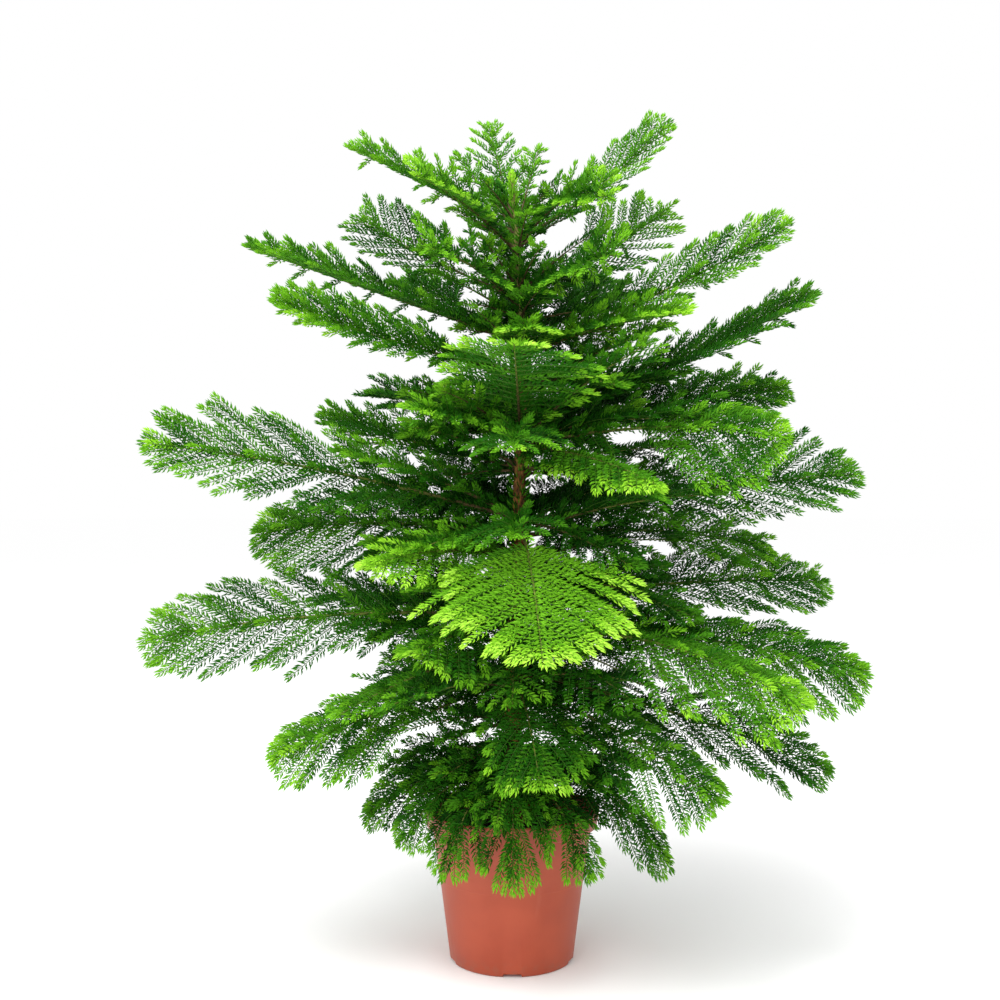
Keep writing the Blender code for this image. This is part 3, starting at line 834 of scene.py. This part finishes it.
paths = np.array([twig.path for twig in twigs])
forward = unit(np.gradient(paths, axis=1))
sideways = unit(np.cross(forward, (0, 0, 1)))
face = np.cross(sideways, forward)
thin = twig_radius * (1 - 0.5 * np.linspace(0, 1, twig_points))[None, :, None]
rings = []
for k in range(twig_sides):
    angle = math.tau * k / twig_sides
    rings.append(paths + thin * (sideways * math.cos(angle) + face * math.sin(angle)))
twig_green = Finish("twig_green", (0.050, 0.140, 0.011), 0.7, Specular_IOR_Level=0.2)
mesh = joined(np.stack(rings, 2).reshape(len(twigs), -1, 3), twig_corners)
settled("twigs", mesh, [twig_green], "limb_bark")


# The needles are soft, short awls, curved in towards the tip of the twig. They stand in pairs to
# its two sides, with more above and below, and the newest at its end are yellow-green and crowded.
# A needle is a bent spindle: its foot, its two edges at the widest place, and its tip. pitches: from
# one to the next in a row, in each tier. ranks: how many degrees round the twig each row stands,
# and its shift along the twig, as a share of the pitch.
needle_pitches = {
    "a": 0.0058, "b": 0.0058, "c": 0.0062, "d": 0.0063,
    "e": 0.0063, "f": 0.0063, "g": 0.0063, "h": 0.0063,
}
needle_lengths = {
    "a": 0.0105, "b": 0.0108, "c": 0.0114, "d": 0.0118,
    "e": 0.0116, "f": 0.0116, "g": 0.0114, "h": 0.0112,
}
needle_width = 0.0017
ranks = ((0, 0.0), (180, 0.0), (35, 0.50), (145, 0.50), (90, 0.25))
needle_corners = ((0, 1, 2), (3, 2, 1), (0, 3, 1), (0, 2, 3))
# The short boughs' needles stand wider apart and are shorter, by these factors.
inner_pitch = 1.2
inner_length = 0.9
# Over about these lengths at the tip of a twig, the needles lie closer to it, and are wider.
young_stretch = 0.007
wide_stretch = 0.008
picked = np.random.default_rng(5)


def needles_on(path, face, pitch, length):
    """Feet, forward and outward directions, lean, size, and distance from the tip, on one path."""
    steps = np.linalg.norm(np.diff(path, axis=0), axis=1)
    marks = np.concatenate([[0], np.cumsum(steps)])
    order = np.arange(int(marks[-1] / pitch) + 4)
    from_tip, roll = [], []
    # At the tip they are half the pitch apart, and further on the whole of it.
    for angle, shift in ranks:
        step = order + shift
        from_tip.append(pitch * (step - 1.6 * (1 - np.exp(-step / 3.2))))
        roll.append(np.full(len(order), math.radians(angle)))
    from_tip, roll = np.concatenate(from_tip), np.concatenate(roll)
    kept = from_tip < marks[-1] - 0.001
    from_tip, roll = from_tip[kept], roll[kept]
    count = len(roll)
    places = marks[-1] - from_tip + picked.normal(0, 0.0006, count)
    feet = np.stack([np.interp(places, marks, path[:, k]) for k in range(3)], 1)
    slopes = [np.gradient(path[:, k], marks) for k in range(3)]
    ahead = unit(np.stack([np.interp(places, marks, slope) for slope in slopes], 1))
    side = unit(np.cross(ahead, face))
    off = np.cross(side, ahead)
    roll = roll + picked.normal(0, 0.20, count)
    young = np.exp(-from_tip / young_stretch)
    lean = np.radians(52) - np.radians(35) * young + picked.normal(0, 0.09, count)
    size = length * (1 - 0.14 * young) * picked.uniform(0.88, 1.10, count)
    away = unit(side * np.cos(roll)[:, None] + off * np.sin(roll)[:, None])
    return feet, ahead, away, lean, size, from_tip


def needle_points(feet, ahead, away, lean, size, width):
    """Four points of each needle. It leaves the twig at its lean and bends in towards ahead."""
    first = ahead * np.cos(lean + 0.32)[:, None] + away * np.sin(lean + 0.32)[:, None]
    last = ahead * np.cos(lean - 0.36)[:, None] + away * np.sin(lean - 0.36)[:, None]
    middle = feet + first * (size * 0.50)[:, None]
    tips = middle + last * (size * 0.50)[:, None]
    edge = unit(np.cross(first, away)) * (width / 2)[:, None]
    return np.stack([feet, middle + edge, middle - edge, tips], 1)


# The six greens of the needles, from dark to light. The darkest is painted shade inside the crown. The
# lighter ones are partly young growth and partly painted light on fronds that face the front.
needle_greens = {
    "needles_shaded": (0.005, 0.050, 0.001),
    "needles_dark": (0.018, 0.118, 0.003),
    "needles_mid": (0.062, 0.235, 0.007),
    "needles_fresh": (0.145, 0.400, 0.013),
    "needles_new": (0.280, 0.590, 0.028),
    "needles_newest": (0.400, 0.720, 0.058),
}
greens = [Finish(name, green, 0.6, Specular_IOR_Level=0.08) for name, green in needle_greens.items()]

# A spray's green is its frond's glow, made lighter towards the frond's tip by outward_gain, so that
# the needles near the trunk carry painted shade. A dark foot says up to which share of the frond it
# is darker still, and how steeply: more painted shade near the trunk. shade_scatter: how much
# sprays differ. Its young end is lighter by young_gain, as new growth is, and more where it points
# to the front, which is painted light.
outward_gain = 1.8
even_share = 0.62
usual_dark_foot = (0.3, 4)
dark_feet = {"e_front": (0.45, 9)}
shade_scatter = 0.40
young_gain = 0.8
front_gain = 1.5
short_front_gain = 0.3


def shade_of(frond, share, standing, from_tip):
    """Which green each needle takes: one for the spray, and two lighter ones at its young end."""
    facing = frontward(frond.heading)
    foot, darkening = dark_feet.get(frond.name, usual_dark_foot)
    spray = frond.glow + outward_gain * (share - even_share) - darkening * max(0, foot - share)
    spray += picked.normal(0, shade_scatter)
    body = int(np.clip(round(spray), 0, 3))
    # Pointing to the front lightens the young end further: painted light.
    gain = short_front_gain if is_short(frond) else front_gain
    tip = int(np.clip(round(spray + young_gain + gain * facing), 1, 5))
    if frond.name[0] in "abh":
        tip = min(tip, 3 + round(facing) if frond.name[0] == "a" else 3)
    if standing:
        tip = min(tip, body + 1)
    middle = min(body + 1, tip)
    # How far the lighter greens reach from the tip: further on lighter fronds and those that face the
    # front, partly young growth and partly painted light.
    young_and_lit_tip = 0.008 + 0.004 * frond.glow + 0.003 * facing
    return np.where(from_tip > young_and_lit_tip, body, np.where(from_tip > young_and_lit_tip * 0.5, middle, tip))


def piece_of(frond):
    """The piece that a frond's needles go to: its tier's, or one for the short boughs inside."""
    tier = frond.name[0]
    if not is_short(frond):
        return f"needles_tier_{tier}"
    return "needles_inner_" + ("upper" if tier in "abcd" else "middle" if tier in "ef" else "lower")


sprays = {}
for twig in twigs:
    frond = twig.limb.frond
    tier = frond.name[0]
    pitch = needle_pitches[tier] * (inner_pitch if is_short(frond) else 1.0)
    length = needle_lengths[tier] * (0.90 + 0.10 * min(1, twig.length / 0.05))
    length *= inner_length if is_short(frond) else 1.0
    spray = (twig.path, twig.face, pitch, length, frond, twig.share, twig.standing)
    sprays.setdefault(piece_of(frond), []).append(spray)
for limb in limbs:
    bare = bare_share.get(limb.frond.name, 0) * limb.length
    out = np.linspace(trunk_radius(limb.frond.height) + 0.012 + bare, limb.length, 30)
    path = on_limb(limb, out, out * 0, out * 0)
    pitch, length = needle_pitches[limb.frond.name[0]], needle_lengths[limb.frond.name[0]]
    spray = (path, blade_axes(limb.frond)[2], pitch, length, limb.frond, 0.6, False)
    sprays[piece_of(limb.frond)].append(spray)

for name, members in sorted(sprays.items()):
    points, shades = [], []
    for path, face, pitch, length, frond, share, standing in members:
        feet, ahead, away, lean, size, from_tip = needles_on(path, face, pitch, length)
        width = needle_width * (1 + 0.25 * np.exp(-from_tip / wide_stretch))
        points.append(needle_points(feet, ahead, away, lean, size, width))
        shades.append(shade_of(frond, share, standing, from_tip))
    mesh = joined(np.concatenate(points), needle_corners, np.concatenate(shades))
    tier = name.replace("needles_tier_", "needles_") + "_"
    nodes = [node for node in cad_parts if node.startswith(tier)]
    settled(name, mesh, greens, "needles", *nodes)


# The leader is this year's shoot at the very top. It is wrapped in short upright needles, and
# ends in a bright tuft. sowings: how many times over the needles are dealt out on it.
leader_foot = 0.800
leader_top = 0.968
leader_pitch = 0.0063
leader_length = 0.0120
sowings = 4


def needles_round(path, pitch, length):
    """Needles as on a twig, but standing out all round an upright stem."""
    feet, ahead, away, lean, size, from_tip = needles_on(path, (0, 1, 0), pitch, length)
    spin = picked.uniform(0, math.tau, len(feet))
    away = np.stack([np.cos(spin), np.sin(spin), np.zeros(len(feet))], 1)
    return feet, ahead, away, lean, size, from_tip


leader_path = np.array([trunk_axis(height) for height in np.linspace(leader_foot, leader_top, 40)])
points, shades = [], []
for _ in range(sowings):
    feet, ahead, away, lean, size, from_tip = needles_round(leader_path, leader_pitch, leader_length)
    keep = picked.uniform(0, 1, len(feet)) < np.clip(1.2 - from_tip / 0.16, 0.25, 1)
    width = np.full(keep.sum(), needle_width)
    made = needle_points(feet[keep], ahead[keep], away[keep], lean[keep] - 0.15, size[keep], width)
    points.append(made)
    shades.append(np.where(from_tip[keep] < 0.012, 4, np.where(from_tip[keep] < 0.04, 3, 2)))
mesh = joined(np.concatenate(points), needle_corners, np.concatenate(shades))
settled("needles_leader", mesh, greens, "new_shoots", "needles_leader")


# The trunk below it still carries old needles of its own, thinly spread, dark, and bent upwards.
old_needles_foot = 0.260
old_needles_top = 0.860
old_pitch = 0.0080
old_length = 0.0140

heights = np.linspace(old_needles_foot, old_needles_top, 60)
trunk_path = np.array([trunk_axis(height) for height in heights])
points, shades = [], []
for _ in range(sowings):
    feet, ahead, away, lean, size, from_tip = needles_round(trunk_path, old_pitch, old_length)
    feet = feet + away * np.array([trunk_radius(foot[2]) for foot in feet])[:, None] * 0.8
    width = np.full(len(feet), needle_width)
    points.append(needle_points(feet, ahead, away, lean, size, width))
    # They take the three darkest greens, the darkest of them painted shade inside the crown.
    shades.append(picked.integers(0, 3, len(feet)))
mesh = joined(np.concatenate(points), needle_corners, np.concatenate(shades))
settled("needles_trunk", mesh, greens, "needles")


# The room round the plant: a plain pale floor and soft light from large panels, with the camera
# level with the middle of the crown.
bm = bmesh.new()
bmesh.ops.create_circle(bm, cap_ends=True, segments=96, radius=40)
floor_mesh = bpy.data.meshes.new("floor")
bm.to_mesh(floor_mesh)
bm.free()
floor = bpy.data.objects.new("floor", floor_mesh)
bpy.context.scene.collection.objects.link(floor)
floor_paint = Finish("floor_paint", (0.995, 0.995, 0.995), 1.0, Specular_IOR_Level=0.0)
floor_mesh.materials.append(floor_paint.material)

world = bpy.data.worlds.new("room")
world.use_nodes = True
world.node_tree.nodes["Background"].inputs["Color"].default_value = (1, 1, 1, 1)
world.node_tree.nodes["Background"].inputs["Strength"].default_value = 1.0
bpy.context.scene.world = world


def panel(name, place, aim, size, watts):
    light = bpy.data.lights.new(name, "AREA")
    light.shape = "RECTANGLE"
    light.size, light.size_y = size
    light.energy = watts
    holder = bpy.data.objects.new(name, light)
    holder.location = place
    holder.rotation_euler = (Vector(aim) - Vector(place)).to_track_quat("-Z", "Y").to_euler()
    bpy.context.scene.collection.objects.link(holder)


panel("top_panel", (-0.4, -0.9, 2.6), (0, 0, 0.5), (1.6, 1.6), 55)
panel("front_panel", (-1.2, -2.6, 1.5), (0, 0, 0.5), (1.8, 1.8), 26)

camera = bpy.data.cameras.new("camera")
camera.sensor_width = 36
camera.lens = 46.4
camera_holder = bpy.data.objects.new("camera", camera)
camera_holder.location = eye
camera_holder.rotation_euler = (math.radians(90), 0, 0)
bpy.context.scene.collection.objects.link(camera_holder)
bpy.context.scene.camera = camera_holder
bpy.context.scene.view_settings.view_transform = "Standard"
